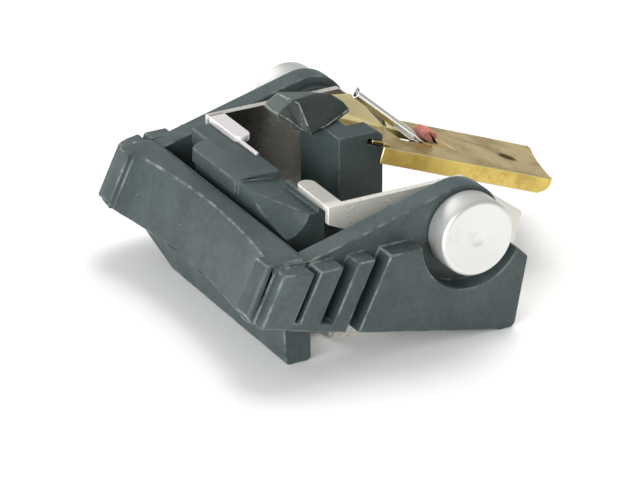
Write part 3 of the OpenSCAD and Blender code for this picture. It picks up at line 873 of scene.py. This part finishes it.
@dataclass
class Studio:
    """The camera at the photograph's angle, the soft light and the white floor."""

    azimuth: float = 61.2
    elevation: float = 25.3
    distance: float = 172.55
    look_at: Point = (0.0, -2.368, 1.785)
    lens: float = 228.4
    sensor: float = 36.0
    near_clip: float = 0.001
    floor_side: float = 3.0
    world_level: float = 0.4
    glossy_level: float = 0.42
    floor_glow: float = 0.07
    floor_colour: Colour = (0.97, 0.97, 0.96)

    def towards_camera(self) -> Vector:
        """The direction from the object to the camera."""
        turn, rise = math.radians(self.azimuth), math.radians(self.elevation)
        return Vector((math.sin(turn) * math.cos(rise), -math.cos(turn) * math.cos(rise), math.sin(rise)))

    def camera(self) -> None:
        """Sets the camera."""
        data = bpy.data.cameras.new("camera")
        data.lens, data.sensor_width, data.clip_start = self.lens, self.sensor, self.near_clip
        camera = bpy.data.objects.new("camera", data)
        bpy.context.scene.collection.objects.link(camera)
        back = self.towards_camera()
        camera.location = (Vector(self.look_at) + back * self.distance) * MM
        camera.rotation_euler = back.to_track_quat("Z", "Y").to_euler()
        bpy.context.scene.camera = camera
        bpy.context.scene.view_settings.view_transform = "Standard"

    def lamp(self, name: str, place: Point, size: float, power: float, colour: Colour,
             mirrored: bool = True) -> None:
        """Adds a soft square lamp that looks at the object.

        Args:
            name: The lamp's name.
            place: Its place, in millimetres.
            size: The length of its side, in millimetres.
            power: Its power, in watts.
            colour: Its colour.
            mirrored: Whether glossy surfaces show it.
        """
        data = bpy.data.lights.new(name, "AREA")
        data.size, data.energy, data.color = size * MM, power, colour
        lamp = bpy.data.objects.new(name, data)
        lamp.visible_glossy = mirrored
        bpy.context.scene.collection.objects.link(lamp)
        lamp.location = Vector(place) * MM
        lamp.rotation_euler = lamp.location.to_track_quat("Z", "Y").to_euler()

    def world(self) -> None:
        """A plain pale world, white where the camera sees it and set to its own level where a reflection sees
        it.
        """
        world = bpy.data.worlds.new("studio")
        bpy.context.scene.world = world
        world.use_nodes = True
        nodes = Nodes(world.node_tree)
        light = nodes.tree.nodes["Background"]
        nodes.feed(light.inputs["Color"], (0.98, 1.0, 1.0, 1.0))
        path = nodes.node("ShaderNodeLightPath")
        plain = (Level(nodes, path.outputs["Is Glossy Ray"]) * (self.glossy_level - self.world_level)
                 + self.world_level)
        strength = Level(nodes, path.outputs["Is Camera Ray"]) * (1 - plain) + plain
        nodes.feed(light.inputs["Strength"], strength)

    def floor(self) -> None:
        """A wide white floor that keeps the object's shadow."""
        bpy.ops.object.select_all(action="DESELECT")
        bpy.ops.mesh.primitive_plane_add(size=self.floor_side, location=(0, 0, 0))
        floor = bpy.context.object
        floor.name = "floor"
        graph = Graph("floor paper")
        tone = graph.noise(0.03, 3, 0.5).step(0.3, 0.7)
        colour = graph.blend(tone, self.floor_colour, tuple(c * 0.985 for c in self.floor_colour))
        graph.surface(base_color=colour, roughness=0.9, specular_ior_level=0.1)
        path = graph.node("ShaderNodeLightPath")
        mirrored = Level(graph, path.outputs["Is Glossy Ray"])
        seen = Level(graph, path.outputs["Is Camera Ray"]).most(mirrored)
        glow = graph.node("ShaderNodeEmission", {}, {"Color": (1, 1, 0.99, 1), "Strength": 1.0})
        both = graph.node("ShaderNodeMixShader", {}, {
            0: seen * self.floor_glow, 1: graph.shader.outputs[0], 2: glow.outputs[0]})
        graph.feed(graph.output.inputs["Surface"], both.outputs[0])
        floor.data.materials.append(graph.material)

    def build(self) -> None:
        """Builds the whole studio."""
        self.camera()
        self.world()
        self.lamp("key", (-90, 100, 190), 170, 0.5, (1.0, 0.99, 0.97), mirrored=False)
        self.lamp("fill", (95, -185, 40), 160, 0.6, (0.98, 1.0, 1.0))
        self.lamp("side", (-190, -40, 90), 150, 0.1, (1.0, 0.99, 1.0))
        self.floor()


@dataclass
class GuardMoulding:
    """The swing-down guard: one moulding with soft edges."""

    edge: float = 0.07

    def build(self) -> None:
        """Builds the guard."""
        piece = SoftCopy("guard", "guard_moulding", self.edge, weld=0.02).build()
        settle(piece, Body.GUARD, Finishes.GUARD, "guard")


@dataclass
class PivotPins:
    """The two turned pins with wide caps, and the washers under the arms."""

    cap_r: float = 1.68
    shank_r: float = 0.8
    rivet_r: float = 0.5
    seat: float = 7.08
    face: float = 8.39
    plate_out: float = 5.46
    plate_in: float = 5.16

    def rings(self) -> list[tuple[float, float]]:
        """The pin's rings from its riveted end to the middle of its cap."""
        face, cap = self.face, self.cap_r
        return [(0.02, self.plate_in - 0.17), (0.45, self.plate_in - 0.19), (0.64, self.plate_in - 0.14),
                (0.7, self.plate_in - 0.06), (0.7, self.plate_in), (self.rivet_r, self.plate_in),
                (self.rivet_r, self.plate_out), (self.shank_r, self.plate_out), (self.shank_r, self.seat),
                (cap - 0.14, self.seat), (cap - 0.04, self.seat + 0.04), (cap, self.seat + 0.14),
                (cap, face - 0.16), (cap - 0.02, face - 0.09), (cap - 0.06, face - 0.04),
                (cap - 0.12, face - 0.01), (cap - 0.2, face), (cap - 0.26, face - 0.012),
                (0.42, face - 0.02), (0.34, face - 0.03), (0.26, face - 0.06), (0.12, face - 0.075),
                (0.02, face - 0.08)]

    def build(self) -> None:
        """Builds both pins and dresses the washers."""
        for side, name in ((1, "near"), (-1, "far")):
            pin = Turning(f"turned_pin_{name}", (0, AXIS_Y, AXIS_Z), (side, 0, 0), self.rings(), 96)
            settle(pin.build(), Body.HOLDER, Finishes.PIN, f"pivot_pin_{name}")
            washer = SoftCopy(f"washer_{name}", f"friction_washer_{name}", 0.05)
            settle(washer.build(), Body.HOLDER, Finishes.NYLON, f"washer_{name}")


@dataclass
class HolderMouldings:
    """The black crossbar, centre block and folded saddle."""

    edge: float = 0.06

    def build(self) -> None:
        """Builds the three mouldings."""
        for node, name, finish, edge in (
                ("crossbar", "crossbar_moulding", Finishes.BAR, self.edge),
                ("centre_block", "block_moulding", Finishes.BAR, self.edge * 0.8),
                ("saddle", "folded_saddle", Finishes.SADDLE, self.edge * 0.6)):
            piece = SoftCopy(node, name, edge, weld=0.012).build()
            settle(piece, Body.HOLDER, finish, node)


@dataclass
class SheetParts:
    """The folded bright bracket and the brass channel."""

    edge: float = 0.045

    def build(self) -> None:
        """Builds the two sheet parts."""
        bracket = SoftCopy("bracket", "bright_bracket", self.edge, weld=0.03).build()
        settle(bracket, Body.HOLDER, Finishes.BRACKET, "bracket")
        brass = SoftCopy("brass_shank", "brass_channel", self.edge, weld=0.03).build()
        settle(brass, Body.HOLDER, Finishes.BRASS, "brass_shank")


@dataclass
class Suspension:
    """The damper, the tie block with its collet and wire, and the moving cantilever."""

    edge: float = 0.03
    weld: float = 0.008
    corner: float = 50.0

    def build(self) -> None:
        """Builds the damper, the tie block and the magnet, and dresses the CAD pieces that stay."""
        damper = SunkDamper("rubber_damper", "red_damper", self.edge, self.weld, self.corner).build()
        settle(damper, Body.HOLDER, Finishes.RUBBER, "rubber_damper")
        for node, name, finish, body in (
                ("tie_block", "tie_block_plated", Finishes.TIE, Body.HOLDER),
                ("magnet", "armature_magnet", Finishes.MAGNET, Body.CANTILEVER)):
            piece = SoftCopy(node, name, self.edge, self.weld, self.corner).build()
            settle(piece, body, finish, node)
        for node, finish in (("wire_collet", Finishes.BRASS), ("tie_wire", Finishes.WIRE),
                             ("cantilever", Finishes.TUBE), ("tip_bush", Finishes.WIRE),
                             ("diamond_tip", Finishes.DIAMOND)):
            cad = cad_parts[node]
            cad.data.materials.clear()
            cad.data.materials.append(finish.material())


def main() -> None:
    """Builds the studio and every sub-assembly, in order."""
    logging.basicConfig(level=logging.INFO, format="%(message)s")
    for assembly in (Studio(), GuardMoulding(), PivotPins(), HolderMouldings(), SheetParts(), Suspension()):
        log.info("building %s", type(assembly).__name__)
        assembly.build()


if __name__ == "__main__":
    main()
